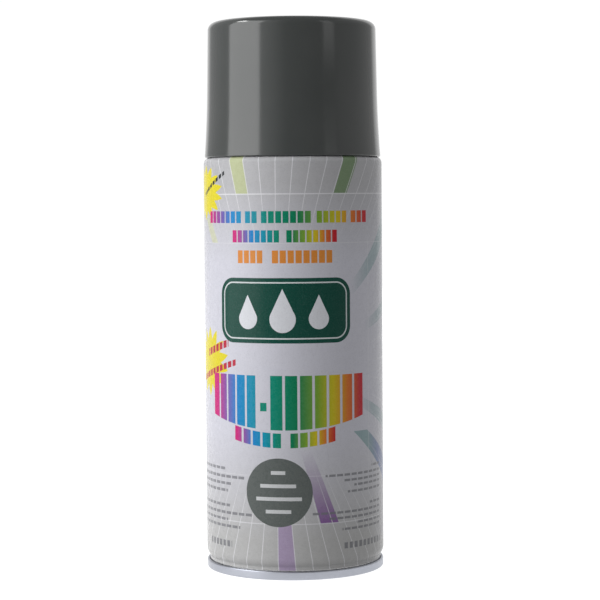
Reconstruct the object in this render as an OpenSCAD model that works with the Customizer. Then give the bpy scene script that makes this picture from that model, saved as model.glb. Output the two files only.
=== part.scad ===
// Aerosol spray can, 65 x 158 mm necked-in tinplate can with a 25.4 mm valve opening and a push-on overcap.
// Units are millimetres. +Z is up, and the origin is the centre of the plane that the base seam stands on.
// The spray nozzle points along -Y, and the body's welded side seam runs down the +Y side.

/* [Can] */
// Outside diameter of the body
can_d = 65; // [64:0.5:66]
// Height from the base to the top of the dome seam
can_h = 158; // [140:1:190]
// Sheet thickness of the body
body_t = 0.2; // [0.18:0.01:0.22]
// Sheet thickness of the dome
dome_t = 0.32; // [0.3:0.01:0.34]
// Sheet thickness of the base end
base_t = 0.34; // [0.32:0.01:0.36]
// Sheet thickness of the mounting cup
cup_t = 0.28; // [0.26:0.01:0.3]
// Height of both double seams
seam_h = 3.1; // [3:0.05:3.2]
// Outside diameter of the base seam
base_seam_d = 64.7; // [64.5:0.1:64.8]
// Outside diameter of the dome seam, which the overcap covers
dome_seam_d = 60.8; // [60.7:0.05:60.85]
// How far the base's centre bulges up into the can
base_rise = 11.5; // [10:0.5:12.5]

/* [Overcap] */
// Height of the overcap's top above the dome seam
cap_above_seam = 41.4; // [40:0.2:46]
// Outside diameter of the overcap's lower edge
cap_edge_d = 64.12; // [64:0.02:64.2]
// Outside diameter of the overcap just under its top rounding
cap_top_d = 61.16; // [60.8:0.02:61.4]
// Radius that rounds the overcap's top edge
cap_round = 2.9; // [2:0.1:3.6]
// Wall thickness of the overcap
cap_wall = 1.25; // [1.1:0.05:1.35]
// Number of stiffening ribs inside the overcap
cap_ribs = 6; // [4:1:8]

/* [Valve] */
// How far the button and stem travel when pressed
press_travel = 1.3; // [1:0.1:1.5]
// Outside diameter of the valve stem
stem_d = 3.9; // [3.8:0.05:4]
// Running clearance of the stem in its gasket and in the button, on the radius
stem_play = 0.03; // [0.02:0.01:0.05]
// Wire diameter of the valve spring
wire_d = 0.5; // [0.4:0.05:0.5]
// Turns of the valve spring
spring_turns = 7; // [5:1:9]

/* [Contents] */
// Diameter of each mixing ball
ball_d = 6.35; // [6:0.05:6.5]
// Outside diameter of the dip tube
tube_d = 5; // [4.8:0.1:5.2]
// How far from the axis the dip tube's lower end is
tube_end_r = 22; // [16:0.5:23]

/* [Hidden] */
$fn = 96;

arc_tolerance = 0.005;       // furthest that an arc's chords lie from the true arc
arc_step = 15;               // widest step along a small arc, degrees
overlap = 0.4;               // how far joined shapes of one piece run into each other
gap = 0.02;                  // between sheets and parts that press against each other

can_r = can_d / 2;
base_seam_r = base_seam_d / 2;
dome_seam_r = dome_seam_d / 2;
cap_edge_r = cap_edge_d / 2;
cap_top_r = cap_top_d / 2;
stem_r = stem_d / 2;
tube_r = tube_d / 2;
ball_r = ball_d / 2;
cap_top = can_h + cap_above_seam;
cap_edge = can_h - 8.17;     // the overcap's lower edge stops just above the body's shoulder
cap_dip = 0.65;              // how much lower the top's corner is than its middle
cap_dome_round = 550;        // radius of the top's slight dome
cap_flare_z = cap_edge + 12.6;
cap_flare_r = cap_top_r + 0.6;
cap_flare_round = 440;       // radius of the curve that flares the wall
collar_inner_r = 15.3;       // inner collar that slips over the mounting cup's rim
collar_outer_r = 16.5;

// A double seam holds five sheets side by side. Each value is the middle radius of one of them.
function seam_wall(r, end_t) = r - end_t / 2;
function body_hook(r, end_t) = seam_wall(r, end_t) - end_t / 2 - gap - body_t / 2;
function end_hook(r, end_t) = body_hook(r, end_t) - body_t / 2 - gap - end_t / 2;
function body_wall(r, end_t) = end_hook(r, end_t) - end_t / 2 - gap - body_t / 2;
function chuck_wall(r, end_t) = body_wall(r, end_t) - body_t / 2 - gap - end_t / 2;
// Depth at which a hook's inner end stops, measured from the seam's closed edge
hook_tip = 0.78;
body_hook_reach = 2.4;

neck_slope = 15;             // the body's shoulder meets the neck on a line this far under level, degrees
shoulder_round = 2.2;        // middle radius of the body's upper shoulder
shoulder_z = can_h - 10.4;   // where the upper shoulder's rounding starts
heel_angle = 33;             // how far the body's heel turns in above the base seam, degrees
heel_round = 4.9;            // middle radius of that heel
heel_z = 7.6;                // where the heel's rounding starts

curl_r = 14.15;              // radius at which the dome's curl is centred
curl_round = 1.29;           // middle radius of the curl itself
curl_z = can_h + 13.05;      // height of the curl's centre
neck_r = curl_r - curl_round;
cup_gasket_t = 0.25;         // thickness of the cup gasket
rim_round = curl_round + dome_t / 2 + cup_gasket_t + cup_t / 2;
rim_top = curl_z + rim_round + cup_t / 2;
cup_floor = can_h + 8.6;     // middle of the mounting cup's floor

pedestal_r = 5.44;           // middle radius of the mounting cup's pedestal
pedestal_top = can_h + 16.6; // top face of the pedestal
stem_gasket_t = 1.2;
stem_gasket_z = pedestal_top - cup_t - gap - stem_gasket_t;
chamber_r = 3.3;             // bore of the valve housing
chamber_floor = can_h + 3.6;
housing_bottom = can_h + 2.4;
tail_length = 7.9;           // valve housing's tail, which the dip tube is pushed on
tail_r = 1.8;
stem_top = pedestal_top + 8;
stem_shoulder_t = 1.2;       // thickness of the stem's sealing shoulder
spring_r = 2.3;              // middle radius of the spring's coil
button_z = pedestal_top + 2; // lower edge of the button
button_h = 15.8;
button_r = 6.9;
nozzle_z = button_z + 9.4;   // height of the spray nozzle's axis
nozzle_seat_y = 3.2;         // the insert's seat is this far in front of the stem's axis
nozzle_face_y = 5.9;         // and the insert's face is this far in front of it
insert_r = 2.3;
insert_post_r = 1.3;

// The base is a shallow bowl upside down. Its radius comes from its rise and the angle at its rim.
base_rim_angle = 25.6;
base_chuck_r = chuck_wall(base_seam_r, base_t);
base_bowl_r = 69.1;          // middle radius of the bowl
base_corner_r = base_bowl_r * tan(base_rim_angle / 2) + 0.05;
base_rim_z = base_rise - (base_chuck_r - base_corner_r) * tan(base_rim_angle);

// A ball lies in the trough between the base and the body, and rises until it meets the shoulder.
ball_play = 0.1;
ball_orbit = can_r - body_t - ball_r - 0.22;
ball_z = base_rise - base_bowl_r
    + sqrt(pow(base_bowl_r + base_t / 2 + ball_r + ball_play, 2) - pow(ball_orbit, 2));
ball_azimuths = [35, 145];

// The dip tube leaves the housing straight down and bends steadily towards the base's rim.
tube_top = housing_bottom - 0.5;
tube_end_z = 12;
tube_drop = tube_top - tube_end_z;
tube_curve_r = (tube_drop * tube_drop + tube_end_r * tube_end_r) / (2 * tube_end_r);
tube_curve_angle = asin(tube_drop / tube_curve_r);
tube_azimuth = -90;

// ---------------------------------------------------------------- outlines

// Left-hand normal of the run from a to b
function left_normal(a, b) =
    let (run = [b[0] - a[0], b[1] - a[1]])
    [-run[1], run[0]] / norm(run);

// A path of corners [x, y, radius], moved sideways by d with its arcs kept parallel
function shifted(path, d) = [
    for (i = [0 : len(path) - 1])
        let (
            last = len(path) - 1,
            before = i > 0 ? left_normal(path[i - 1], path[i]) : left_normal(path[0], path[1]),
            after = i < last ? left_normal(path[i], path[i + 1]) : before,
            miter = (before + after) / (1 + before * after),
            turn = sign(before[0] * after[1] - before[1] * after[0]),
            radius = len(path[i]) > 2 ? path[i][2] : 0
        )
        [path[i][0] + d * miter[0], path[i][1] + d * miter[1], radius > 0 ? radius - d * turn : 0]
];

// Points of the arc that rounds one corner
function corner_arc(before, corner, after) =
    let (
        c = [corner[0], corner[1]],
        radius = corner[2],
        to_before = ([before[0], before[1]] - c) / norm([before[0], before[1]] - c),
        to_after = ([after[0], after[1]] - c) / norm([after[0], after[1]] - c),
        half = acos(to_before * to_after) / 2,
        bisector = (to_before + to_after) / norm(to_before + to_after),
        centre = c + bisector * radius / sin(half),
        from = c + to_before * radius / tan(half) - centre,
        to = c + to_after * radius / tan(half) - centre,
        start = atan2(from[1], from[0]),
        sweep = (atan2(to[1], to[0]) - start + 540) % 360 - 180,
        steps = ceil(abs(sweep) / min(arc_step, 2 * acos(1 - arc_tolerance / radius)))
    )
    [for (k = [0 : steps]) centre + radius * [cos(start + sweep * k / steps), sin(start + sweep * k / steps)]];

// Points of a path whose corners are rounded. A corner with no radius stays sharp.
function rounded(path) = [
    for (i = [0 : len(path) - 1])
        let (sharp = i == 0 || i == len(path) - 1 || len(path[i]) < 3 || path[i][2] <= 0)
        each sharp ? [[path[i][0], path[i][1]]] : corner_arc(path[i - 1], path[i], path[i + 1])
];

function reversed(list) = [for (i = [len(list) - 1 : -1 : 0]) list[i]];

// A sheet of thickness t whose middle follows the path, turned about Z
module sheet(path, t) {
    rotate_extrude()
        polygon(concat(rounded(shifted(path, t / 2)), reversed(rounded(shifted(path, -t / 2)))));
}

// A closed outline of corners, turned about Z
module turned(outline) {
    rotate_extrude()
        polygon(rounded(outline));
}

module ring(inner, outer, z, h) {
    turned([[inner, z], [outer, z], [outer, z + h], [inner, z + h]]);
}

// ---------------------------------------------------------------- can

// Tube with hooked flanges at both ends, and the lap of its welded side seam
module can_body() {
    top_neck = body_wall(dome_seam_r, dome_t);
    top_hook = body_hook(dome_seam_r, dome_t);
    low_neck = body_wall(base_seam_r, base_t);
    low_hook = body_hook(base_seam_r, base_t);
    hook_round = (top_hook - top_neck) / 2;
    low_hook_round = (low_hook - low_neck) / 2;
    wall = can_r - body_t / 2;
    flange_top = can_h - dome_t - gap - body_t / 2;
    flange_low = base_t + gap + body_t / 2;
    shoulder_tangent = shoulder_round * tan((90 - neck_slope) / 2);
    shoulder_corner = shoulder_z + shoulder_tangent;
    neck_run = (wall - top_neck) / cos(neck_slope);
    neck_round = (neck_run - shoulder_tangent) / tan((90 - neck_slope) / 2) - gap;
    heel_corner = heel_z - heel_round * tan(heel_angle / 2);
    heel_run = (wall - low_neck) / sin(heel_angle);
    heel_inner_round = heel_run / tan(heel_angle / 2) - heel_round - gap;
    weld_width = 0.9;
    weld_inset = 0.06;
    color([0.74, 0.74, 0.77])
    union() {
        sheet([
            [top_hook, can_h - body_hook_reach],
            [top_hook, flange_top, hook_round],
            [top_neck, flange_top, hook_round],
            [top_neck, shoulder_corner + neck_run * sin(neck_slope), neck_round],
            [wall, shoulder_corner, shoulder_round],
            [wall, heel_corner, heel_round],
            [low_neck, heel_corner - heel_run * cos(heel_angle), heel_inner_round],
            [low_neck, flange_low, low_hook_round],
            [low_hook, flange_low, low_hook_round],
            [low_hook, body_hook_reach]
        ], body_t);
        rotate([0, 0, 90 - weld_width / can_r * 90 / PI])
            rotate_extrude(angle = weld_width / can_r * 180 / PI)
                translate([wall - body_t / 2 - weld_inset, heel_z + 2])
                    square([body_t / 2 + weld_inset, shoulder_z - heel_z - 4]);
    }
}

// Concave end with its curl closed over the body's lower hook
module base_end() {
    seam = seam_wall(base_seam_r, base_t);
    hook = end_hook(base_seam_r, base_t);
    curl = (seam - hook) / 2;
    edge_round = (seam - base_chuck_r) / 2 - 0.25;
    color([0.8, 0.81, 0.83])
    sheet([
        [0, base_rise],
        [base_corner_r, base_rise, base_bowl_r - gap],
        [base_chuck_r, base_rim_z, 1.2],
        [base_chuck_r, base_t / 2, edge_round],
        [seam, base_t / 2, edge_round],
        [seam, seam_h - base_t / 2, curl],
        [hook, seam_h - base_t / 2, curl],
        [hook, hook_tip]
    ], base_t);
}

// Cone from the top seam to the curled valve opening
module dome() {
    seam = seam_wall(dome_seam_r, dome_t);
    hook = end_hook(dome_seam_r, dome_t);
    chuck = chuck_wall(dome_seam_r, dome_t);
    curl = (seam - hook) / 2;
    edge_round = (seam - chuck) / 2 - gap;
    groove_width = 1.9;
    groove_z = can_h - 4.3 + dome_t / 2;
    brow_z = curl_z - 3.3;
    color([0.8, 0.81, 0.83])
    sheet([
        [hook, can_h - hook_tip],
        [hook, can_h - seam_h + dome_t / 2, curl],
        [seam, can_h - seam_h + dome_t / 2, curl],
        [seam, can_h - dome_t / 2, edge_round],
        [chuck, can_h - dome_t / 2, edge_round],
        [chuck, groove_z, groove_width / 2 - gap],
        [chuck - groove_width, groove_z, groove_width / 2 - gap],
        [chuck - groove_width - 0.5, can_h - 1.5, 1.2],
        [20, brow_z, 13.4],
        [neck_r, curl_z - 2.4, 0.9],
        [neck_r, curl_z + curl_round, curl_round - gap],
        [curl_r + curl_round, curl_z + curl_round, curl_round - gap],
        [curl_r + curl_round, curl_z - curl_round, curl_round - gap],
        [curl_r, curl_z - curl_round]
    ], dome_t);
}

// Lining compound in the pocket that the end's curl leaves beyond the body's hook
module seam_compound(r, end_t, z) {
    middle = body_hook(r, end_t);
    half = body_t / 2;
    color([0.45, 0.42, 0.36])
    ring(middle - half, middle + half, z, 0.2);
}

module dome_seam_compound() {
    seam_compound(dome_seam_r, dome_t, can_h - body_hook_reach - gap - 0.2);
}

module base_seam_compound() {
    seam_compound(base_seam_r, base_t, body_hook_reach + gap);
}

// ---------------------------------------------------------------- valve

// Valve cup: rim over the dome's curl, crimp under it, trough, and the pedestal that grips the housing
module mounting_cup() {
    rim_outer = curl_r + rim_round;
    rim_inner = curl_r - rim_round;
    rim_mid_z = curl_z + rim_round;
    color([0.82, 0.82, 0.84])
    sheet([
        [rim_outer, curl_z - 0.9],
        [rim_outer, rim_mid_z, rim_round - gap],
        [rim_inner, rim_mid_z, rim_round - gap],
        [rim_inner, cup_floor + 1.6, 0.35],
        [rim_inner + 0.82, cup_floor + 1, 0.4],
        [rim_inner + 0.2, cup_floor, 0.6],
        [pedestal_r, cup_floor, 0.8],
        [pedestal_r, pedestal_top - 4.9, 0.3],
        [pedestal_r - 0.5, pedestal_top - 4.5, 0.3],
        [pedestal_r, pedestal_top - 4.1, 0.3],
        [pedestal_r, pedestal_top - cup_t / 2, 0.55],
        [stem_r + 0.4, pedestal_top - cup_t / 2]
    ], cup_t);
}

// Thin liner between the mounting cup's rim and the dome's curl
module cup_gasket() {
    liner_round = curl_round + dome_t / 2 + cup_gasket_t / 2;
    color([0.92, 0.92, 0.9])
    sheet([
        [curl_r + liner_round, curl_z - 0.2],
        [curl_r + liner_round, curl_z + liner_round, liner_round - gap],
        [curl_r - liner_round, curl_z + liner_round, liner_round - gap],
        [curl_r - liner_round, curl_z - 1.5]
    ], cup_gasket_t - 2 * gap);
}

module stem_gasket() {
    inner = stem_r + stem_play;
    outer = pedestal_r - cup_t / 2 - 0.1;
    top = stem_gasket_z + stem_gasket_t;
    color([0.12, 0.12, 0.12])
    turned([[inner, stem_gasket_z], [outer, stem_gasket_z], [outer, top, 0.35], [inner, top]]);
}

// Moulded body that holds the spring and stem, with a vapour hole and a barbed tail
module valve_housing() {
    flange_r = pedestal_r - cup_t / 2 - 0.2;
    body_r = 4.2;
    flange_z = pedestal_top - 3.85;
    top = stem_gasket_z - gap;
    tail_bottom = housing_bottom - tail_length;
    color([0.93, 0.92, 0.88])
    difference() {
        turned([
            [0, tail_bottom],
            [tail_r - 0.25, tail_bottom],
            [tail_r, tail_bottom + 1],
            [tail_r, housing_bottom],
            [body_r, housing_bottom, 0.5],
            [body_r, flange_z],
            [flange_r, flange_z],
            [flange_r, top],
            [0, top]
        ]);
        translate([0, 0, chamber_floor])
            cylinder(r = chamber_r, h = top - chamber_floor + 1);
        translate([0, 0, tail_bottom - 1])
            cylinder(r = 1.1, h = tail_length + 1.4);
        translate([0, 0, housing_bottom - 1])
            cylinder(r = 0.7, h = 4);
        translate([0, 0, chamber_floor + 5])
            rotate([90, 0, 0])
                cylinder(r = 0.3, h = body_r + 1);
    }
}

// Point of the spring's centre line after t turns: closed turns at both ends and open ones between
function spring_point(t, bottom, top) =
    let (
        closed = 1,
        pitch_share = (min(max(t, closed), spring_turns - closed) - closed) / (spring_turns - 2 * closed),
        low = wire_d * min(t, closed),
        high = wire_d * max(t - (spring_turns - closed), 0),
        free = top - bottom - wire_d - 2 * wire_d * closed
    )
    [spring_r * cos(360 * t), spring_r * sin(360 * t), bottom + wire_d / 2 + low + high + free * pitch_share];

module valve_spring() {
    sides = 8;
    rings_a_turn = 18;
    rings = spring_turns * rings_a_turn;
    bottom = chamber_floor + gap;
    top = stem_gasket_z - stem_shoulder_t - 2 * gap;
    points = [
        for (i = [0 : rings], s = [0 : sides - 1])
            let (
                t = i / rings_a_turn,
                around = 360 * s / sides,
                outward = [cos(360 * t), sin(360 * t), 0]
            )
            spring_point(t, bottom, top) + wire_d / 2 * (cos(around) * outward + sin(around) * [0, 0, 1])
    ];
    walls = [
        for (i = [0 : rings - 1], s = [0 : sides - 1])
            let (a = i * sides + s, b = i * sides + (s + 1) % sides)
            each [[a, b, b + sides], [a, b + sides, a + sides]]
    ];
    first_cap = [[for (s = [sides - 1 : -1 : 0]) s]];
    last_cap = [[for (s = [0 : sides - 1]) rings * sides + s]];
    color([0.6, 0.6, 0.62])
    polyhedron(points = points, faces = concat(walls, first_cap, last_cap));
}

// Hollow stem: side holes in the gasket at rest, a sealing shoulder below it, and a spigot in the spring
module valve_stem() {
    shoulder_top = stem_gasket_z - gap;
    shoulder_low = shoulder_top - stem_shoulder_t;
    spigot_low = shoulder_low - 3;
    hole_z = stem_gasket_z + stem_gasket_t / 2;
    color([0.95, 0.95, 0.93])
    difference() {
        turned([
            [0, spigot_low],
            [1.4, spigot_low],
            [1.7, spigot_low + 0.5],
            [1.7, shoulder_low],
            [3, shoulder_low, 0.2],
            [3, shoulder_top, 0.2],
            [stem_r, shoulder_top],
            [stem_r, stem_top - 0.4],
            [stem_r - 0.3, stem_top],
            [0, stem_top]
        ]);
        translate([0, 0, hole_z - 0.5])
            cylinder(r = 1.05, h = stem_top - hole_z + 1);
        translate([0, 0, hole_z])
            rotate([0, 90, 0])
                cylinder(r = 0.3, h = 2 * stem_r + 1, center = true);
    }
}

// Tube pushed on the housing's tail, in one long natural curve towards the base's rim
module dip_tube() {
    color([0.9, 0.9, 0.88])
    rotate([0, 0, tube_azimuth])
        translate([tube_curve_r, 0, tube_top])
            rotate([-90, 0, 0])
                rotate([0, 0, 180 - tube_curve_angle])
                    rotate_extrude(angle = tube_curve_angle)
                        translate([tube_curve_r, 0])
                            difference() {
                                circle(r = tube_r);
                                circle(r = tail_r + gap / 2);
                            }
}

// ---------------------------------------------------------------- spray button

// Button with a finger dish, a socket for the stem, and an angled passage to the nozzle
module actuator_button() {
    top = button_z + button_h;
    dish_r = 16;
    dish_depth = 1.3;
    boss_r = 3.4;
    socket_top = stem_top + 0.05;
    color([0.95, 0.95, 0.94])
    difference() {
        turned([
            [0, button_z],
            [button_r + 0.15, button_z],
            [button_r, top, 1.3],
            [0, top]
        ]);
        translate([0, 0, top + dish_r - dish_depth])
            sphere(r = dish_r);
        difference() {
            translate([0, 0, button_z - 1])
                cylinder(r = button_r - 1.1, h = 6);
            translate([0, 0, button_z - 2])
                cylinder(r = boss_r, h = 8);
        }
        translate([0, 0, button_z - 1])
            cylinder(r = boss_r + 1, h = 1.6);
        translate([0, 0, button_z - 1])
            cylinder(r = stem_r + stem_play, h = socket_top - button_z + 1);
        translate([0, 0, socket_top - 1])
            cylinder(r = 0.9, h = nozzle_z - socket_top + 1);
        translate([0, -0.5, nozzle_z])
            rotate([90, 0, 0])
                cylinder(r = 0.9, h = 5);
        translate([0, 0, nozzle_z])
            rotate([90, 0, 0])
                nozzle_pocket();
    }
}

// Pocket in the button's face, along +Z here: a seat for the insert round a centre post, and a flared mouth
module nozzle_pocket() {
    difference() {
        translate([0, 0, nozzle_seat_y])
            cylinder(r = insert_r, h = 6);
        translate([0, 0, nozzle_seat_y - 1])
            cylinder(r = insert_post_r, h = 3);
    }
    translate([0, 0, nozzle_face_y])
        cylinder(r1 = insert_r, r2 = insert_r + 1.6, h = 1.6);
}

// Cup-shaped spray insert with a fine orifice
module nozzle_insert() {
    depth = nozzle_face_y - nozzle_seat_y;
    color([0.75, 0.16, 0.12])
    translate([0, -nozzle_seat_y, nozzle_z])
        rotate([90, 0, 0])
            difference() {
                cylinder(r = insert_r - gap / 2, h = depth - 0.1);
                translate([0, 0, -1])
                    cylinder(r = insert_post_r + gap / 2, h = 3 + gap);
                translate([0, 0, depth - 0.45])
                    cylinder(r1 = 0.25, r2 = 0.9, h = 0.4);
                translate([0, 0, 1])
                    cylinder(r = 0.25, h = depth);
            }
}

// ---------------------------------------------------------------- overcap

// Push-on cap: domed top, straight wall that flares at the bottom, and a lower edge that steps in
module overcap() {
    ceiling = cap_top - 1.4;
    inner_top_r = cap_top_r - cap_wall;
    bead_r = dome_seam_r + 0.08;
    bead_z = can_h - seam_h - 0.5;
    shell_low_r = dome_seam_r + 0.3;
    color([0.25, 0.26, 0.26])
    difference() {
        union() {
            turned([
                [0, cap_top],
                [cap_top_r / 2, cap_top, cap_dome_round],
                [cap_top_r - 0.05, cap_top - cap_dip, cap_round],
                [cap_flare_r, cap_flare_z, cap_flare_round],
                [cap_edge_r, cap_edge + 0.3, 0.2],
                [cap_edge_r - 0.3, cap_edge],
                [cap_edge_r - 0.9, cap_edge],
                [shell_low_r, cap_edge + 1],
                [shell_low_r, bead_z - 1.2],
                [bead_r, bead_z - 0.4, 0.3],
                [bead_r, bead_z + 0.1, 0.3],
                [shell_low_r, bead_z + 0.7],
                [shell_low_r, can_h + 1.2],
                [cap_flare_r - cap_wall - 0.1, can_h + 4],
                [inner_top_r, ceiling - cap_dip, cap_round - 1.2],
                [cap_top_r / 2, ceiling, cap_dome_round],
                [0, ceiling]
            ]);
            cap_collar(ceiling);
            for (i = [0 : cap_ribs - 1])
                rotate([0, 0, 360 / cap_ribs * (i + 0.5)])
                    cap_rib(ceiling);
        }
        gate_mark();
    }
}

// Inner collar whose mouth slips over the mounting cup's rim and stops on it
module cap_collar(ceiling) {
    grip_r = curl_r + rim_round + cup_t / 2 + 0.07;
    stop_z = rim_top + 0.05;
    mouth_z = curl_z - 0.8;
    turned([
        [collar_inner_r, ceiling + overlap],
        [collar_inner_r, stop_z],
        [grip_r, stop_z],
        [grip_r, mouth_z + 0.5],
        [grip_r + 0.35, mouth_z],
        [grip_r + 1, mouth_z],
        [grip_r + 1, stop_z + 1],
        [collar_outer_r, stop_z + 2.5],
        [collar_outer_r, ceiling + overlap]
    ]);
}

// Gusset that stiffens the collar under the ceiling
module cap_rib(ceiling) {
    rib_t = 0.9;
    rib_reach = 26;
    translate([0, rib_t / 2, 0])
        rotate([90, 0, 0])
            linear_extrude(rib_t)
                polygon([
                    [collar_outer_r - overlap, ceiling + overlap],
                    [collar_outer_r - overlap, ceiling - 16],
                    [rib_reach, ceiling - 4],
                    [rib_reach, ceiling + overlap]
                ]);
}

// Shallow round mark where the plastic entered the mould
module gate_mark() {
    difference() {
        translate([0, 0, cap_top - 0.35])
            cylinder(r = 2.4, h = 1);
        translate([0, 0, cap_top - 1])
            cylinder(r = 0.8, h = 0.85);
    }
}

// ---------------------------------------------------------------- contents

module mixing_ball(azimuth) {
    color([0.75, 0.75, 0.76])
    rotate([0, 0, azimuth])
        translate([ball_orbit, 0, ball_z])
            sphere(r = ball_r);
}

module mixing_ball_1() {
    mixing_ball(ball_azimuths[0]);
}

module mixing_ball_2() {
    mixing_ball(ball_azimuths[1]);
}

overcap();
actuator_button();
nozzle_insert();
valve_stem();
stem_gasket();
valve_spring();
valve_housing();
dip_tube();
mounting_cup();
cup_gasket();
dome();
dome_seam_compound();
can_body();
base_seam_compound();
base_end();
mixing_ball_1();
mixing_ball_2();
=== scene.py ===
import functools
import math
import operator

import bmesh
import bpy
from mathutils import Matrix, Vector


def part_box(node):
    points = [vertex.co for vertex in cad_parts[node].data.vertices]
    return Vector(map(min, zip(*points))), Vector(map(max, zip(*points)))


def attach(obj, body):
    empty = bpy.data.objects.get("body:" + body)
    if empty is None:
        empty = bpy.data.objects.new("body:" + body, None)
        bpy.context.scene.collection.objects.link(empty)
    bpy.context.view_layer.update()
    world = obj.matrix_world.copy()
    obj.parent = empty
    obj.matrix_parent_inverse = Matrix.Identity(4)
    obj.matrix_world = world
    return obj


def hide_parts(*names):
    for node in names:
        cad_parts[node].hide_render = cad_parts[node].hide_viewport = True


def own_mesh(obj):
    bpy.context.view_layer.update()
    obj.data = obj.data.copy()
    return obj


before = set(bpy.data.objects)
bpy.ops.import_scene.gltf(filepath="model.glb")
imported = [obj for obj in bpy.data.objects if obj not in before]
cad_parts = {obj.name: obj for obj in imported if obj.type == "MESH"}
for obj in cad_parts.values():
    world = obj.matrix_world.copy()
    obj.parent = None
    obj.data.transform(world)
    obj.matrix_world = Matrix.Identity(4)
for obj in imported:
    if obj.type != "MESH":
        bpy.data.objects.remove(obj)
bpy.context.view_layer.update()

MM = 0.001
CAN_R = 32.5
CAN_H = 158.0              # to the top of the dome's seam
CAP_EDGE = CAN_H - 8.17
CAP_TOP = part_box("overcap")[1].z / MM
CAP_CEILING = CAP_TOP - 1.4

LATHE_STEPS = 256          # faces round each turned piece
ARC_STEP = 5               # widest step along a rounded corner, degrees
ARC_CHORD = 2              # and in millimetres
SHARP = 35                 # faces that meet at less than this shade as one, degrees
ON_AXIS = 1e-6             # radii below this are points on the axis

CAMERA_PLACE = (0, -0.71834, 0.13503)
CAMERA_DOWN = 0.05205      # radians below level
CAMERA_TURN = -0.00326     # radians to the right
CAMERA_ROLL = -0.0074
CAMERA_LENS = 1958.9 / 600 * 36


# ---------------------------------------------------------------- outlines, in millimetres

def left_normal(a, b):
    """The unit normal to the left of the line from a to b."""
    run = (b[0] - a[0], b[1] - a[1])
    length = math.hypot(*run)
    return (-run[1] / length, run[0] / length)


def shifted(path, distance):
    """A path of corners (r, z, radius), moved sideways with its arcs kept parallel."""
    moved = []
    last = len(path) - 1
    for i, corner in enumerate(path):
        before = left_normal(path[i - 1], corner) if i else left_normal(path[0], path[1])
        after = left_normal(corner, path[i + 1]) if i < last else before
        share = 1 + before[0] * after[0] + before[1] * after[1]
        turn = math.copysign(1, before[0] * after[1] - before[1] * after[0])
        radius = corner[2] if len(corner) > 2 else 0
        moved.append((
            corner[0] + distance * (before[0] + after[0]) / share,
            corner[1] + distance * (before[1] + after[1]) / share,
            radius - distance * turn if radius else 0,
        ))
    return moved


def corner_arc(before, corner, after):
    """Points along the arc that rounds a corner (r, z, radius) between its two neighbours."""
    c = Vector(corner[:2])
    radius = corner[2]
    to_before = (Vector(before[:2]) - c).normalized()
    to_after = (Vector(after[:2]) - c).normalized()
    half = math.acos(max(-1, min(1, to_before.dot(to_after)))) / 2
    centre = c + (to_before + to_after).normalized() * radius / math.sin(half)
    start = c + to_before * radius / math.tan(half) - centre
    end = c + to_after * radius / math.tan(half) - centre
    first = math.atan2(start.y, start.x)
    sweep = (math.atan2(end.y, end.x) - first + 3 * math.pi) % (2 * math.pi) - math.pi
    steps = max(2, math.ceil(abs(sweep) / math.radians(ARC_STEP)), math.ceil(abs(sweep) * radius / ARC_CHORD))
    angles = [first + sweep * k / steps for k in range(steps + 1)]
    return [(centre.x + radius * math.cos(a), centre.y + radius * math.sin(a)) for a in angles]


def rounded(path):
    """The points of a path of corners (r, z) or (r, z, radius). Its two ends stay sharp."""
    points = []
    for i, corner in enumerate(path):
        sharp = i in (0, len(path) - 1) or len(corner) < 3 or corner[2] <= 0
        points += [tuple(corner[:2])] if sharp else corner_arc(path[i - 1], corner, path[i + 1])
    return points


def sheet_outline(path, thickness):
    """The closed outline of a sheet whose middle follows the path."""
    return rounded(shifted(path, thickness / 2)) + rounded(shifted(path, -thickness / 2))[::-1]


# ---------------------------------------------------------------- meshes

def coat(node, material):
    """Puts a material on a CAD piece."""
    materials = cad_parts[node].data.materials
    materials.clear()
    materials.append(material)


def add_mesh(name, bm, body, material, replaces=()):
    """A finished piece on a body. The CAD nodes that it replaces get its material too."""
    bmesh.ops.recalc_face_normals(bm, faces=bm.faces)
    for face in bm.faces:
        face.smooth = True
    for edge in bm.edges:
        if len(edge.link_faces) == 2:
            edge.smooth = edge.calc_face_angle(0) < math.radians(SHARP)
    mesh = bpy.data.meshes.new(name)
    bm.to_mesh(mesh)
    bm.free()
    mesh.materials.append(material)
    piece = bpy.data.objects.new(name, mesh)
    bpy.context.scene.collection.objects.link(piece)
    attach(piece, body)
    if replaces:
        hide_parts(*replaces)
        for node in replaces:
            coat(node, material)
    return piece


def lathe(outline):
    """A closed outline (r, z) in millimetres, turned about Z."""
    bm = bmesh.new()
    angles = [2 * math.pi * k / LATHE_STEPS for k in range(LATHE_STEPS)]
    rings = []
    for r, z in outline:
        if r < ON_AXIS:
            rings.append([bm.verts.new((0, 0, z * MM))])
        else:
            rings.append([bm.verts.new((r * MM * math.cos(a), r * MM * math.sin(a), z * MM)) for a in angles])
    for i, ring in enumerate(rings):
        following = rings[(i + 1) % len(rings)]
        for k in range(LATHE_STEPS):
            m = (k + 1) % LATHE_STEPS
            if len(ring) == 1 and len(following) == 1:
                break
            if len(ring) == 1:
                bm.faces.new((ring[0], following[m], following[k]))
            elif len(following) == 1:
                bm.faces.new((ring[k], ring[m], following[0]))
            else:
                bm.faces.new((ring[k], ring[m], following[m], following[k]))
    return bm


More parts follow.
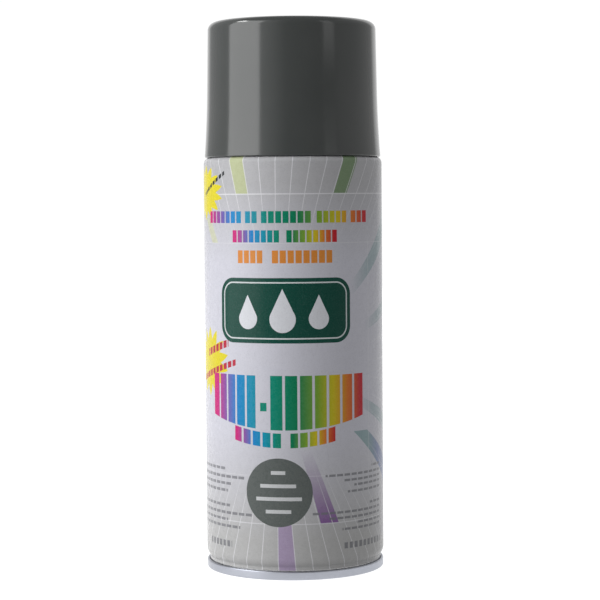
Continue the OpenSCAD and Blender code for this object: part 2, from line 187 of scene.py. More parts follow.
def helix(radius, wire, bottom, top, turns, sides=12, rings_a_turn=36):
    """A compression spring whose first and last turns are closed. All in millimetres."""
    bm = bmesh.new()
    closed = 1
    free = top - bottom - wire * (1 + 2 * closed)
    rings = []
    for i in range(int(turns * rings_a_turn) + 1):
        t = i / rings_a_turn
        low = wire * min(t, closed)
        high = wire * max(t - (turns - closed), 0)
        share = (min(max(t, closed), turns - closed) - closed) / (turns - 2 * closed)
        z = bottom + wire / 2 + low + high + free * share
        a = 2 * math.pi * t
        ring = []
        for s in range(sides):
            around = 2 * math.pi * s / sides
            r = radius + wire / 2 * math.cos(around)
            height = z + wire / 2 * math.sin(around)
            ring.append(bm.verts.new((r * math.cos(a) * MM, r * math.sin(a) * MM, height * MM)))
        rings.append(ring)
    for one, two in zip(rings, rings[1:]):
        for s in range(sides):
            n = (s + 1) % sides
            bm.faces.new((one[s], one[n], two[n], two[s]))
    bm.faces.new(rings[0][::-1])
    bm.faces.new(rings[-1])
    return bm


# ---------------------------------------------------------------- shader fields

class Field:
    """A number that varies over a surface, made of shader maths nodes. A mask is a field of 0 and 1."""

    def __init__(self, tree, socket):
        self.tree = tree
        self.socket = socket

    def math(self, operation, *others):
        node = self.tree.nodes.new("ShaderNodeMath")
        node.operation = operation
        for slot, value in zip(node.inputs, (self,) + others):
            if isinstance(value, Field):
                self.tree.links.new(value.socket, slot)
            else:
                slot.default_value = value
        return Field(self.tree, node.outputs[0])

    def __add__(self, other):
        return self.math("ADD", other)

    def __sub__(self, other):
        return self.math("SUBTRACT", other)

    def __mul__(self, other):
        return self.math("MULTIPLY", other)

    def __truediv__(self, other):
        return self.math("DIVIDE", other)

    def __or__(self, other):
        return self.math("MAXIMUM", other)

    def __abs__(self):
        return self.math("ABSOLUTE")

    def less(self, limit):
        return self.math("LESS_THAN", limit)

    def more(self, limit):
        return self.math("GREATER_THAN", limit)

    def within(self, low, high):
        return self.math("COMPARE", (low + high) / 2, (high - low) / 2)

    def near_whole(self, reach):
        """A mask of the places where the field is within reach of a whole number."""
        return (self + 0.5).math("FRACT").within(0.5 - reach, 0.5 + reach)

    def saw(self, pitch, start=0):
        """Distance past the last whole pitch."""
        return (self - start).math("WRAP", pitch, 0)

    def ramp(self, low, high, at_low=0.0, at_high=1.0):
        """Goes evenly from at_low to at_high as the field goes from low to high, and stays there."""
        node = self.tree.nodes.new("ShaderNodeMapRange")
        self.tree.links.new(self.socket, node.inputs["Value"])
        for name, value in (("From Min", low), ("From Max", high), ("To Min", at_low), ("To Max", at_high)):
            node.inputs[name].default_value = value
        return Field(self.tree, node.outputs[0])

    def spread(self, at_low=0.0, at_high=1.0):
        """A noise field stretched over its usual range."""
        return self.ramp(0.3, 0.7, at_low, at_high)


def union(masks):
    """Where any of the masks is 1."""
    return functools.reduce(operator.or_, masks)


def object_place(tree):
    """The x, y and z of each point, as fields in metres."""
    split = tree.nodes.new("ShaderNodeSeparateXYZ")
    tree.links.new(tree.nodes.new("ShaderNodeTexCoord").outputs["Object"], split.inputs[0])
    return [Field(tree, out) for out in split.outputs]


def colour_ramp(tree, share, stops):
    """The colour at a share of the way along stops of (position, colour)."""
    node = tree.nodes.new("ShaderNodeValToRGB")
    tree.links.new(share.socket, node.inputs[0])
    elements = node.color_ramp.elements
    while len(elements) < len(stops):
        elements.new(1.0)
    for element, (position, _) in zip(elements, stops):
        element.position = position
    for element, (_, colour) in zip(elements, stops):
        element.color = colour
    return node.outputs[0]


def srgb(r, g, b):
    """A colour given as 0 to 255 display values."""
    return tuple((c / 255 / 12.92) if c <= 10 else ((c / 255 + 0.055) / 1.055) ** 2.4 for c in (r, g, b)) + (1,)


def shade(colour, factor):
    """A colour made darker or lighter."""
    return tuple(min(1, c * factor) for c in colour[:3]) + (1,)


# ---------------------------------------------------------------- materials

class Skin:
    """A material under construction."""

    def __init__(self, name):
        self.material = bpy.data.materials.new(name)
        self.material.use_nodes = True
        self.tree = self.material.node_tree
        self.shader = self.tree.nodes["Principled BSDF"]
        self.coords = self.tree.nodes.new("ShaderNodeTexCoord").outputs["Object"]

    def settings(self, **values):
        for name, value in values.items():
            self.shader.inputs[name.replace("_", " ")].default_value = value

    def noise(self, scale, detail=2, stretch=(1, 1, 1)):
        mapping = self.tree.nodes.new("ShaderNodeMapping")
        mapping.inputs["Scale"].default_value = stretch
        self.tree.links.new(self.coords, mapping.inputs["Vector"])
        node = self.tree.nodes.new("ShaderNodeTexNoise")
        node.inputs["Scale"].default_value = scale
        node.inputs["Detail"].default_value = detail
        self.tree.links.new(mapping.outputs[0], node.inputs["Vector"])
        return Field(self.tree, node.outputs["Fac"])

    def mix(self, share, under, over):
        """The colour over laid on the colour under. Each is a colour or a colour socket."""
        node = self.tree.nodes.new("ShaderNodeMix")
        node.data_type = "RGBA"
        self.tree.links.new(share.socket, node.inputs["Factor"])
        for slot, colour in ((node.inputs[6], under), (node.inputs[7], over)):
            if isinstance(colour, tuple):
                slot.default_value = colour
            else:
                self.tree.links.new(colour, slot)
        return node.outputs[2]

    def paint(self, colour):
        self.tree.links.new(colour, self.shader.inputs["Base Color"])

    def drive(self, socket, field):
        self.tree.links.new(field.socket, self.shader.inputs[socket])

    def bump(self, height, distance):
        """Relief from a height field, at full strength, with its distance in millimetres."""
        node = self.tree.nodes.new("ShaderNodeBump")
        node.inputs["Distance"].default_value = distance * MM
        node.inputs["Strength"].default_value = 1.0
        self.tree.links.new(height.socket, node.inputs["Height"])
        self.tree.links.new(node.outputs[0], self.shader.inputs["Normal"])


def plastic(name, colour, roughness, grain, mottle, subsurface=0.0):
    """Moulded plastic: a slightly mottled colour and the fine texture of the mould."""
    skin = Skin(name)
    clouds = skin.noise(60, 3)
    fine = skin.noise(2600, 2)
    skin.paint(skin.mix(clouds.ramp(0.35, 0.65), shade(colour, 1 - mottle), shade(colour, 1 + mottle)))
    skin.drive("Roughness", fine.spread(roughness * 0.85, roughness * 1.2))
    skin.bump(fine, grain)
    if subsurface:
        skin.settings(Subsurface_Weight=subsurface, Subsurface_Scale=0.002)
    return skin.material


def rubber(name, colour):
    """Matt rubber or sealing compound."""
    skin = Skin(name)
    fine = skin.noise(1800, 4)
    skin.paint(skin.mix(fine.spread(), shade(colour, 0.8), colour))
    skin.drive("Roughness", fine.spread(0.62, 0.8))
    skin.bump(fine, 0.02)
    return skin.material


def tinplate(name, colour, roughness):
    """Bright metal with a faint, even grain."""
    skin = Skin(name)
    grain = skin.noise(900, 3)
    clouds = skin.noise(45, 3)
    skin.paint(skin.mix(clouds.spread(), shade(colour, 0.9), colour))
    skin.drive("Roughness", grain.spread(-0.05, 0.05) + clouds.spread(roughness - 0.04, roughness + 0.04))
    skin.bump(grain, 0.0012)
    skin.settings(Metallic=1.0)
    return skin.material


def cap_plastic():
    """Gloss dark-grey plastic, with faint flow lines down it and a slight sway in its reflections."""
    skin = Skin("cap_plastic")
    flow = skin.noise(260, 2, (1, 1, 0.02))
    clouds = skin.noise(35, 3)
    fine = skin.noise(1400, 2)
    sway = skin.noise(48, 1, (1, 1, 0.3))
    skin.paint(skin.mix(clouds.ramp(0.35, 0.65), srgb(60, 64, 63), srgb(66, 69, 68)))
    skin.drive("Roughness", flow.spread(0.11, 0.16) + fine.ramp(0.4, 0.7, 0.0, 0.02))
    skin.bump(sway * 12 + flow * 0.6 + fine * 0.4, 0.006)
    skin.settings(Specular_IOR_Level=0.74)
    return skin.material


# ---------------------------------------------------------------- printed label
# Positions are in millimetres: u round the body from its front, and z up from its base.

VANISH_U, VANISH_Z = -6.2, 77.0    # where the grid's rays meet
TOP_EDGE = 149.5                   # the body's upper edge
RAY_PITCH = 6.3                    # between rays, where they meet that edge
RAY_LINE = 0.028                   # half a line's width, as a share of the pitch
SIDE_PITCH = 0.16                  # slope from one side ray to the next
SIDE_LINE = 0.04
OUTER_LOW, OUTER_TOP = 20.0, 136.5     # heights of the nested frames' lines
INNER_LOW, INNER_TOP = 37.0, 119.2
MIDDLE_U = -3.5                    # where the arched swatch rows hang lowest
WELD_STRIP = 2.4                   # unprinted, each side of the weld
BARE_TOP = CAN_H - 7.2             # unprinted above this
BARE_LOW = 3.4                     # and below this

GROUND = srgb(209, 209, 219)
GROUND_TOP = srgb(184, 184, 187)
GROUND_LOW = srgb(184, 184, 184)
GROUND_SIDE = srgb(190, 190, 197)
LINE = srgb(226, 226, 230)
CELL_LIME = srgb(190, 197, 150)
CELL_GREEN = srgb(122, 145, 110)
CELL_STRAW = srgb(205, 208, 160)
CELL_LILAC = srgb(172, 155, 186)
CELL_PURPLE = srgb(128, 84, 150)
BEAM_TEAL = srgb(120, 158, 160)
BEAM_BLUE = srgb(118, 128, 178)
SPLASH = srgb(226, 212, 40)
INK_DARK = srgb(45, 48, 50)
INK_RED = srgb(186, 42, 66)
INK_GREY = srgb(118, 119, 124)
PLAQUE = srgb(12, 74, 62)
PLAQUE_LINE = srgb(214, 220, 222)
PLAQUE_DROPS = srgb(222, 224, 230)
DISC = srgb(96, 102, 100)
DISC_BARS = srgb(206, 208, 210)
SWATCH_ORANGE = srgb(222, 140, 60)
TEAL = srgb(0, 138, 116)
SPECTRUM = [
    (0.0, srgb(205, 25, 122)), (0.1, srgb(128, 88, 168)), (0.18, srgb(0, 130, 203)), (0.29, srgb(0, 146, 180)),
    (0.42, TEAL), (0.58, srgb(0, 124, 80)), (0.7, srgb(122, 164, 52)), (0.8, srgb(208, 192, 32)),
    (0.9, srgb(218, 120, 46)), (1.0, srgb(196, 28, 44)),
]

# Groups of chips in each swatch row: left edge, right edge and how many.
TOP_ROW = ((-37.4, -19, 7), (-17.8, -12.6, 2), (-11.5, 6.8, 7), (8.4, 20.5, 5), (22, 30.6, 3))
SECOND_ROW = ((-23.4, -4.5, 8), (-2.4, 16.5, 8))
ORANGE_ROW = ((-21, -10.6, 4), (-7.6, 14.7, 8))
BIG_ROW = ((-35, -13.4, 5), (-8.6, 28.5, 7))
LAST_ROW = ((-23, -4, 5), (-1.5, 15.7, 5))

# Blocks of thin bars: each bar's height and the end of it that is nearer the front.
LEFT_BARS = (
    (38.1, -28), (35.3, -19), (32.8, -25), (30.3, -27),
    (25.0, -26), (22.3, -16), (19.9, -27), (17.5, -21),
)
RIGHT_BARS = (
    (38.6, 33), (36.4, 11), (34.4, 18.6), (32.5, 23), (30.3, 20),
    (25.3, 31.6), (23.1, 6), (21.1, 12.3), (19.0, 24), (17.0, 17.6),
)
LEFT_BARS_END, RIGHT_BARS_END = -84, 39.8


class Label:
    """The print, laid down in layers."""

    def __init__(self, skin):
        self.skin = skin
        x, y, self.z = (field * 1000 for field in object_place(skin.tree))
        self.u = x.math("ARCTAN2", y * -1) * CAN_R
        self.run = self.u - VANISH_U
        self.rise = self.z - VANISH_Z
        self.slope = self.rise / self.run
        self.ray = self.run / self.rise * ((TOP_EDGE - VANISH_Z) / RAY_PITCH)    # counted from the upright one
        join = skin.tree.nodes.new("ShaderNodeCombineXYZ")
        skin.tree.links.new(self.u.socket, join.inputs[0])
        skin.tree.links.new(self.z.socket, join.inputs[1])
        self.point = join.outputs[0]
        self.colour = GROUND

    def lay(self, mask, colour, strength=1.0):
        share = mask if strength == 1.0 else mask * strength
        self.colour = self.skin.mix(share, self.colour, colour)

    def box(self, left, right, low, high):
        return self.u.within(left, right) * self.z.within(low, high)

    def disc(self, u, z, radius):
        node = self.skin.tree.nodes.new("ShaderNodeVectorMath")
        node.operation = "DISTANCE"
        node.inputs[1].default_value = (u, z, 0)
        self.skin.tree.links.new(self.point, node.inputs[0])
        return Field(self.skin.tree, node.outputs["Value"]).less(radius)

    def rounded_box(self, u, z, half_width, half_height, radius):
        """Distance outside a box with rounded corners. It is negative inside."""
        across = (abs(self.u - u) - (half_width - radius)).math("MAXIMUM", 0)
        up = (abs(self.z - z) - (half_height - radius)).math("MAXIMUM", 0)
        return (across * across + up * up).math("SQRT") - radius

    def chips(self, left, right, count, share):
        """Evenly spaced upright bars between two edges. Each fills that share of its pitch."""
        pitch = (right - left) / count
        return self.u.saw(pitch, left).less(pitch * share) * self.u.within(left, right - pitch * (1 - share))

    def row(self, groups, share=0.8):
        return union(self.chips(*group, share) for group in groups)

    def sagged(self, bend):
        """The height of each point above a row that hangs in an arch."""
        off = self.u - MIDDLE_U
        return self.z - off * off * bend

    def spectrum(self, left, right):
        return colour_ramp(self.skin.tree, self.u.ramp(left, right), SPECTRUM)


def burst(label, u, z, inner, outer, points, squat=1.0):
    """A star-shaped splash, flattened by the factor squat."""
    run = label.u - u
    rise = (label.z - z) * squat
    tooth = (rise.math("ARCTAN2", run) * (points / (2 * math.pi))).math("PINGPONG", 0.5) * 2
    return (run * run + rise * rise).math("SQRT").less(tooth.ramp(0, 1, inner, outer))


def drop(label, u, z, size):
    """A paint drop: a disc with a pointed top."""
    point_low, tip, shoulder = size * 0.5, size * 2.3, size * 0.86
    up = label.z - z
    point = abs(label.u - u).less(up.ramp(point_low, tip, shoulder, 0)) * up.within(point_low, tip)
    return label.disc(u, z, size) | point


def lay_ground(label):
    """Grey towards both ends, pale lavender in the middle, and a little darker on the two side walls."""
    z = label.z
    label.lay(z.ramp(112, 140), GROUND_TOP)
    label.lay(z.ramp(52, 14), GROUND_LOW)
    label.lay(abs(label.run).ramp(36, 60) * z.within(12, 142), GROUND_SIDE, 0.8)


def lay_tiles(label):
    """Tinted cells between the rays, and beams at the right."""
    z, ray = label.z, label.ray
    label.lay(ray.within(-3, -2) * z.more(OUTER_TOP), CELL_LIME, 0.9)
    label.lay(ray.within(4.05, 5.1) * z.more(OUTER_TOP), CELL_GREEN, 0.95)
    label.lay(ray.within(-8.0, -6.9) * z.within(INNER_TOP, 128), CELL_STRAW, 0.6)
    label.lay(ray.within(-1, 0) * z.less(OUTER_LOW), CELL_LILAC, 0.95)
    label.lay(ray.within(-4.5, -3.1) * z.ramp(46, OUTER_LOW) * z.more(OUTER_LOW), CELL_PURPLE, 0.95)
    right = label.run.more(0)
    for low, high, start, strength in ((0.82, 1.0, 28, 0.55), (0.3, 0.4, 35, 0.45), (-0.5, -0.39, 31, 0.5)):
        beam = label.slope.within(low, high) * right * label.run.ramp(start, start + 9)
        label.lay(beam, BEAM_TEAL, strength)
    lowest = label.slope.within(-0.86, -0.69) * right * z.less(52)
    label.lay(lowest, BEAM_TEAL, 0.75)
    label.lay(lowest * label.run.ramp(37, 44), BEAM_BLUE, 0.8)


def lay_grid(label):
    """Fine pale lines that run to one point, crossed by lines of nested frames."""
    z = label.z
    near_end = z.ramp(118, 134) | z.ramp(44, 24)
    label.lay(label.ray.near_whole(RAY_LINE) * near_end, LINE, 0.75)
    beside = abs(label.run).ramp(34, 50) * label.slope.within(-1.05, 1.05)
    label.lay((label.slope / SIDE_PITCH).near_whole(SIDE_LINE) * beside, LINE, 0.45)
    for height, half, strength in (
        (OUTER_TOP, 0.22, 0.8), (INNER_TOP, 0.15, 0.4), (INNER_LOW, 0.15, 0.35), (OUTER_LOW, 0.2, 0.6),
    ):
        label.lay(z.within(height - half, height + half), LINE, strength)
    label.lay(abs(label.run).within(37.2, 37.5) * z.within(INNER_LOW, INNER_TOP), LINE, 0.5)


def lay_small_bars(label):
    """Blocks of thin grey bars at both sides, and again on the back."""
    u, z = label.u, label.z
    worn = u.saw(3.1).less(2.55)
    left = union(label.box(LEFT_BARS_END, edge, low, low + 1.0) for low, edge in LEFT_BARS)
    label.lay(left * worn, INK_GREY, 0.8)
    right = union(label.box(edge, RIGHT_BARS_END, low, low + 0.85) for low, edge in RIGHT_BARS)
    label.lay(right * worn, INK_GREY, 0.8)
    feet = label.box(-39, -25, 10.6, 12.8) | label.box(18, 40, 10.4, 12.6)
    label.lay(feet * u.saw(2.3).less(1.5), INK_GREY, 0.85)
    back = z.saw(3.6).less(1.1) * z.within(56, 128) * abs(u).within(58, 92)
    label.lay(back * worn, INK_GREY, 0.7)


def lay_slanted_bars(label, slope, heights, edges, pitch, filled, ink):
    """A row of bars that climbs by the slope. Its heights are those that it has at the front."""
    row = (label.z - label.u * slope).within(*heights) * label.u.within(*edges)
    label.lay(row * label.u.saw(pitch).less(filled), ink)


def lay_splashes(label):
    """Plain yellow splashes with slanted bars across them."""
    label.lay(burst(label, -42.0, 137.2, inner=9.0, outer=13.4, points=14, squat=1.35), SPLASH)
    label.lay(burst(label, -38.7, 76.4, inner=8.2, outer=12.6, points=14), SPLASH)
    lay_slanted_bars(label, 0.5, (157.2, 158.6), (-43, -27.5), 2.2, 1.6, INK_DARK)
    lay_slanted_bars(label, 0.3, (90.2, 92.8), (-40, -26), 2.4, 1.8, INK_RED)
    lay_slanted_bars(label, 0.3, (82.6, 84.8), (-46, -22.5), 2.4, 1.8, INK_RED)


def lay_swatches(label):
    """Rows of colour swatches that run through the spectrum."""
    z = label.z
    inner = label.spectrum(-22, 15)
    label.lay(label.row(TOP_ROW) * z.within(126.3, 130.5), label.spectrum(-36, 29))
    label.lay(label.row(SECOND_ROW) * z.within(119.5, 123.8), inner)
    label.lay(label.row(ORANGE_ROW) * z.within(112.2, 116.7), SWATCH_ORANGE)
    big = label.row(BIG_ROW, 0.82) * z.less(72.6) * label.sagged(0.0045).more(53.3)
    label.lay(big, label.spectrum(-33, 26))
    label.lay(label.box(-12.4, -10.0, 60, 63), TEAL)
    label.lay(label.row(LAST_ROW, 0.78) * label.sagged(0.0062).within(47, 52.2), inner)


def lay_plaque(label):
    """Dark green plaque with a pale inner line and three paint drops."""
    edge = label.rounded_box(-4.0, 95.5, half_width=25.5, half_height=11.5, radius=6)
    label.lay(edge.less(0), PLAQUE)
    label.lay(edge.within(-1.9, -1.4), PLAQUE_LINE)
    drops = drop(label, -4.0, 92.4, 4.7) | drop(label, -17.0, 92.6, 3.7) | drop(label, 9.0, 92.6, 3.7)
    label.lay(drops, PLAQUE_DROPS)


def lay_colour_disc(label):
    """Disc in the paint's own grey, with plain bars."""
    label.lay(label.disc(-5.9, 31.2, 12.2), DISC)
    bars = ((-8.6, -3.4, 37.6), (-12.6, 0.4, 32.9), (-14.2, 2.4, 28.3), (-10.6, -1.4, 23.8))
    label.lay(union(label.box(left, right, low, low + 1.3) for left, right, low in bars), DISC_BARS)


def lay_grain(label):
    """The faint grain of a printed screen."""
    screen = label.skin.noise(2400, 1)
    label.lay(screen.ramp(0.5, 0.8), srgb(225, 225, 230), 0.03)
    label.lay(screen.ramp(0.5, 0.2), srgb(30, 30, 36), 0.1)


def printed_tinplate():
    """Varnished print, with bare lacquered metal at both ends and along the weld at the back."""
    skin = Skin("printed_tinplate")
    label = Label(skin)
    for lay_part in (
        lay_ground, lay_tiles, lay_grid, lay_small_bars, lay_splashes,
        lay_swatches, lay_plaque, lay_colour_disc, lay_grain,
    ):
        lay_part(label)
    bare = abs(label.u).more(math.pi * CAN_R - WELD_STRIP) | (label.z.more(BARE_TOP) | label.z.less(BARE_LOW))
    rolled = skin.noise(700, 3, (1, 1, 0.05))
    metal = skin.mix(rolled.spread(), srgb(150, 150, 150), srgb(185, 185, 186))
    skin.paint(skin.mix(bare, label.colour, metal))
    skin.drive("Metallic", bare.ramp(0, 1, 0.0, 0.9))
    peel = skin.noise(420, 2)
    skin.drive("Roughness", peel.spread(0.24, 0.31))
    skin.bump(peel, 0.0004)
    skin.settings(Specular_IOR_Level=0.17)
    return skin.material


# ---------------------------------------------------------------- pieces

def build_overcap(material):
    """The cap's shell: top, flared side, snap bead and the collar that grips the cup's rim."""
    dip = 0.65             # the top's edge below its middle
    top_r = 30.58
    flare_r = top_r + 0.6
    edge_r = 32.06
    wall = 1.25
    inside_r = 30.7        # of the skirt
    bead_r = 30.48
    grip = 16.2            # inside the collar's mouth
    collar_r = 16.5
    stop_r = 15.3
    rim_stop = 174.65
    mouth = 170.25
    outside = [
        (0, CAP_TOP - 0.15), (0.8, CAP_TOP - 0.15, 0.1), (0.8, CAP_TOP - 0.35), (2.4, CAP_TOP - 0.35),
        (2.4, CAP_TOP), (top_r / 2, CAP_TOP, 550), (top_r - 0.05, CAP_TOP - dip, 2.9),
        (flare_r, CAP_EDGE + 12.6, 440), (edge_r, CAP_EDGE + 0.3, 0.2),
        (edge_r - 0.3, CAP_EDGE, 0.1), (edge_r - 0.9, CAP_EDGE),
    ]
    skirt = [
        (inside_r, CAP_EDGE + 1), (inside_r, 153.2), (bead_r, 154.0, 0.3), (bead_r, 154.5, 0.3), (inside_r, 155.1),
        (inside_r, CAN_H + 1.2), (flare_r - wall - 0.1, CAN_H + 4), (top_r - wall, CAP_CEILING - dip, 1.7),
    ]
    collar = [
        (collar_r, CAP_CEILING), (collar_r, rim_stop + 2.5), (grip + 1, rim_stop + 1), (grip + 1, mouth),
        (grip + 0.35, mouth), (grip, mouth + 0.5), (grip, rim_stop), (stop_r, rim_stop),
        (stop_r, CAP_CEILING), (0, CAP_CEILING),
    ]
    shell = lathe(rounded(outside + skirt + collar))
    add_mesh("overcap_shell", shell, "cap", material, ["overcap"])


def build_cap_ribs(material):
    """Gussets between the cap's collar and its ceiling."""
    count = 6
    half = 0.45
    sunk = CAP_CEILING + 0.3
    side = [(16.3, sunk), (16.3, CAP_CEILING - 16), (26, CAP_CEILING - 4), (26, sunk)]
    bm = bmesh.new()
    for i in range(count):
        turn = Matrix.Rotation(math.radians(360 / count * (i + 0.5)), 4, "Z")
        faces = [[bm.verts.new(turn @ Vector((r * MM, y * MM, z * MM))) for r, z in side] for y in (-half, half)]
        bm.faces.new(faces[0])
        bm.faces.new(faces[1][::-1])
        for k in range(4):
            n = (k + 1) % 4
            bm.faces.new((faces[0][k], faces[0][n], faces[1][n], faces[1][k]))
    add_mesh("overcap_ribs", bm, "cap", material)


def build_can_body(material):
    """The body's tube, with a neck, a shoulder or heel, and a hooked flange at each end."""
    thickness = 0.2
    wall = CAN_R - thickness / 2
    top_neck, top_hook = 29.4, 29.96
    low_neck, low_hook = 31.31, 31.89
    flange_top, flange_low = CAN_H - 0.44, 0.46
    hook_reach = 2.4
    slope = math.radians(15)
    bend = math.tan(math.radians(37.5))    # half the turn from the neck's slope to the upright wall
    shoulder_round = 2.2
    shoulder_z = CAN_H - 10.4 + shoulder_round * bend
    neck_run = (wall - top_neck) / math.cos(slope)
    neck_round = (neck_run - shoulder_round * bend) / bend - 0.02
    heel = math.radians(33)
    heel_round = 4.9
    heel_z = 7.6 - heel_round * math.tan(heel / 2)
    heel_run = (wall - low_neck) / math.sin(heel)
    path = [
        (top_hook, CAN_H - hook_reach), (top_hook, flange_top, 0.28), (top_neck, flange_top, 0.28),
        (top_neck, shoulder_z + neck_run * math.sin(slope), neck_round), (wall, shoulder_z, shoulder_round),
        (wall, heel_z, heel_round),
        (low_neck, heel_z - heel_run * math.cos(heel), heel_run / math.tan(heel / 2) - heel_round - 0.02),
        (low_neck, flange_low, 0.29), (low_hook, flange_low, 0.29), (low_hook, hook_reach),
    ]
    add_mesh("can_tube", lathe(sheet_outline(path, thickness)), "can", material, ["can_body"])


def build_base_end(material):
    """The concave end, with its seam folded round the body's lower flange."""
    thickness = 0.34
    seam, hook, chuck = 32.18, 31.60, 31.02
    low = thickness / 2
    seam_top = 3.1 - thickness / 2
    middle = 11.5          # height of the bowl's middle
    bowl = 69.1            # the bowl's radius
    rim = math.radians(25.6)
    corner = bowl * math.tan(rim / 2) + 0.05
    path = [
        (0, middle), (corner, middle, bowl - 0.02), (chuck, middle - (chuck - corner) * math.tan(rim), 1.2),
        (chuck, low, (seam - chuck) / 2 - 0.25), (seam, low, (seam - chuck) / 2 - 0.25),
        (seam, seam_top, (seam - hook) / 2), (hook, seam_top, (seam - hook) / 2), (hook, 0.78),
    ]
    add_mesh("base_shell", lathe(sheet_outline(path, thickness)), "can", material, ["base_end"])


def build_spring(material):
    """The valve spring at rest, coiled between the ends of the CAD spring. Nothing here squashes it when the stem
    is pressed.
    """
    low, high = (v.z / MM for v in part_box("valve_spring"))
    coil = helix(radius=2.3, wire=0.5, bottom=low, top=high, turns=7)
    piece = add_mesh("spring_coil", coil, "can", material, ["valve_spring"])
    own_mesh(piece)


def dress_cad_nodes():
    """Materials for the CAD pieces that show as they are."""
    looks = {
        "actuator_button": plastic(
            "button_plastic", srgb(236, 236, 233), roughness=0.32, grain=0.006, mottle=0.02, subsurface=0.1),
        "nozzle_insert": plastic("insert_plastic", srgb(190, 52, 40), roughness=0.3, grain=0.004, mottle=0.05),
        "valve_stem": plastic(
            "stem_plastic", srgb(226, 224, 214), roughness=0.38, grain=0.004, mottle=0.04, subsurface=0.1),
        "valve_housing": plastic(
            "housing_plastic", srgb(220, 216, 203), roughness=0.42, grain=0.006, mottle=0.05, subsurface=0.1),
        "dip_tube": plastic(
            "tube_plastic", srgb(222, 222, 216), roughness=0.3, grain=0.003, mottle=0.04, subsurface=0.2),
        "stem_gasket": rubber("gasket_rubber", srgb(44, 44, 44)),
        "cup_gasket": rubber("cup_liner", srgb(206, 204, 196)),
        "dome_seam_compound": rubber("dome_lining", srgb(140, 132, 112)),
        "base_seam_compound": rubber("base_lining", srgb(140, 132, 112)),
        "mounting_cup": tinplate("cup_tinplate", srgb(216, 216, 218), roughness=0.24),
        "dome": tinplate("dome_tinplate", srgb(208, 209, 212), roughness=0.28),
        "mixing_ball_1": tinplate("ball_steel_1", srgb(205, 205, 207), roughness=0.12),
        "mixing_ball_2": tinplate("ball_steel_2", srgb(205, 205, 207), roughness=0.12),
    }
    for name, material in looks.items():
        coat(name, material)


# ---------------------------------------------------------------- studio, in metres

def add_camera():
    data = bpy.data.cameras.new("camera")
    data.sensor_width = 36
    data.lens = CAMERA_LENS
    data.clip_start = 0.01
    camera = bpy.data.objects.new("camera", data)
    bpy.context.scene.collection.objects.link(camera)
    turn = (
        Matrix.Rotation(CAMERA_TURN, 4, "Z")
        @ Matrix.Rotation(math.pi / 2 - CAMERA_DOWN, 4, "X")
        @ Matrix.Rotation(CAMERA_ROLL, 4, "Z")
    )
    camera.matrix_world = Matrix.Translation(CAMERA_PLACE) @ turn
    bpy.context.scene.camera = camera


def towards(azimuth, distance, height):
    """A point that far from the can. Azimuth 0 is the camera's side, and it grows to the camera's right."""
    a = math.radians(azimuth)
    return Vector((distance * math.sin(a), -distance * math.cos(a), height))


def add_softbox(name, azimuth, spread, distance, low, high, radiance):
    """A rectangular light that faces the can's axis and spans that many degrees."""
    data = bpy.data.lights.new(name, "AREA")
    data.shape = "RECTANGLE"
    data.size = 2 * distance * math.tan(math.radians(spread / 2))
    data.size_y = high - low
    data.energy = radiance * math.pi * data.size * data.size_y
    light = bpy.data.objects.new(name, data)
    light.location = towards(azimuth, distance, (low + high) / 2)
    light.rotation_euler = (math.pi / 2, 0, math.radians(azimuth))
    bpy.context.scene.collection.objects.link(light)


def glow(name, strength, albedo=0.0):
    """A matt surface that gives off an even white light."""
    material = bpy.data.materials.new(name)
    material.use_nodes = True
    shader = material.node_tree.nodes["Principled BSDF"]
    shader.inputs["Base Color"].default_value = (albedo, albedo, albedo, 1)
    shader.inputs["Roughness"].default_value = 0.9
    shader.inputs["Specular IOR Level"].default_value = 0.0
    shader.inputs["Emission Color"].default_value = (1, 1, 1, 1)
    shader.inputs["Emission Strength"].default_value = strength
    return material


def add_backdrop(name, verts, faces, material):
    """A staged surface that isn't part of the can."""
    mesh = bpy.data.meshes.new(name)
    mesh.from_pydata(verts, [], faces)
    mesh.materials.append(material)
    backdrop = bpy.data.objects.new(name, mesh)
    bpy.context.scene.collection.objects.link(backdrop)
    return backdrop


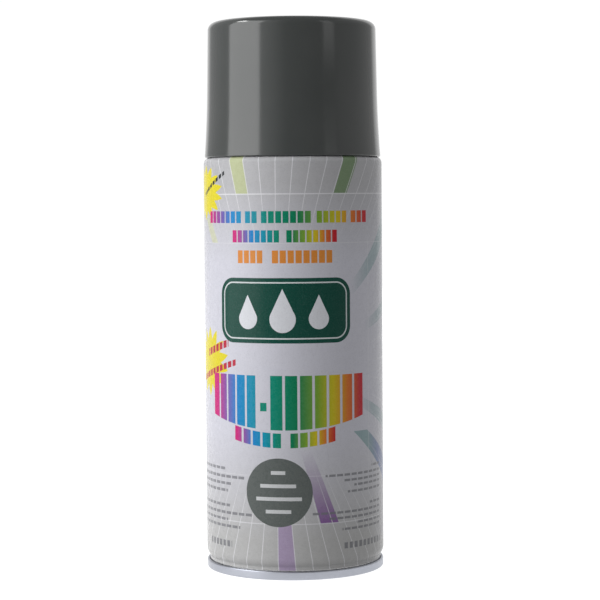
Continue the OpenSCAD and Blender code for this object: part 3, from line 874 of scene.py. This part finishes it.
def ring_glow():
    """The grey round the can, by azimuth: the reflections that it leaves on the cap set its steps."""
    levels = [
        (-180, 1.02), (-152, 1.02), (-146, 0.55), (-93, 0.55), (-44, 0.9), (-8, 0.3), (55, 0.28),
        (66, 0.42), (112, 0.5), (138, 0.5), (144, 1.02), (180, 1.02),
    ]
    material = glow("ring_grey", 1.0)
    tree = material.node_tree
    x, y, _ = object_place(tree)
    share = x.math("ARCTAN2", y * -1).ramp(-math.pi, math.pi)
    stops = [((azimuth + 180) / 360, (level, level, level, 1)) for azimuth, level in levels]
    tree.links.new(colour_ramp(tree, share, stops), tree.nodes["Principled BSDF"].inputs["Emission Color"])
    return material


def add_ring(radius, low, high, steps=96):
    """An upright round wall about the can."""
    around = [towards(360 * i / steps, radius, 0) for i in range(steps)]
    verts = [(p.x, p.y, z) for p in around for z in (low, high)]
    faces = [(2 * i, 2 * i + 1, 2 * ((i + 1) % steps) + 1, 2 * ((i + 1) % steps)) for i in range(steps)]
    add_backdrop("ring", verts, faces, ring_glow())


def floor_white():
    """White that falls to pale grey in front of the can, so that the can's front stays calm."""
    material = glow("floor_white", 1.0, albedo=0.35)
    tree = material.node_tree
    fade = object_place(tree)[1].ramp(-0.3, -0.06, 0.14, 0.95)
    tree.links.new(fade.socket, tree.nodes["Principled BSDF"].inputs["Emission Strength"])
    return material


def add_floor(reach):
    corners = [(-reach, -reach, 0), (reach, -reach, 0), (reach, reach, 0), (-reach, reach, 0)]
    floor = add_backdrop("floor", corners, [(0, 1, 2, 3)], floor_white())
    floor.visible_diffuse = False


def add_studio():
    world = bpy.data.worlds.new("world")
    bpy.context.scene.world = world
    world.use_nodes = True
    world.node_tree.nodes["Background"].inputs["Color"].default_value = (1, 1, 1, 1)
    world.node_tree.nodes["Background"].inputs["Strength"].default_value = 0.3
    add_floor(reach=2.4)
    add_ring(radius=2.2, low=-0.3, high=3.0)
    add_softbox("left_softbox", azimuth=-68, spread=49, distance=1.0, low=-0.3, high=1.3, radiance=2.15)
    add_softbox("right_softbox", azimuth=51, spread=16, distance=1.2, low=0.34, high=1.3, radiance=0.65)
    add_softbox("high_softbox", azimuth=-86, spread=20, distance=0.9, low=0.93, high=1.17, radiance=11.0)


def main():
    add_camera()
    add_studio()
    cap = cap_plastic()
    build_overcap(cap)
    build_cap_ribs(cap)
    build_can_body(printed_tinplate())
    build_base_end(tinplate("base_tinplate", srgb(176, 179, 188), roughness=0.36))
    build_spring(tinplate("spring_steel", srgb(190, 190, 192), roughness=0.22))
    dress_cad_nodes()
    bpy.context.scene.view_settings.view_transform = "Standard"


main()
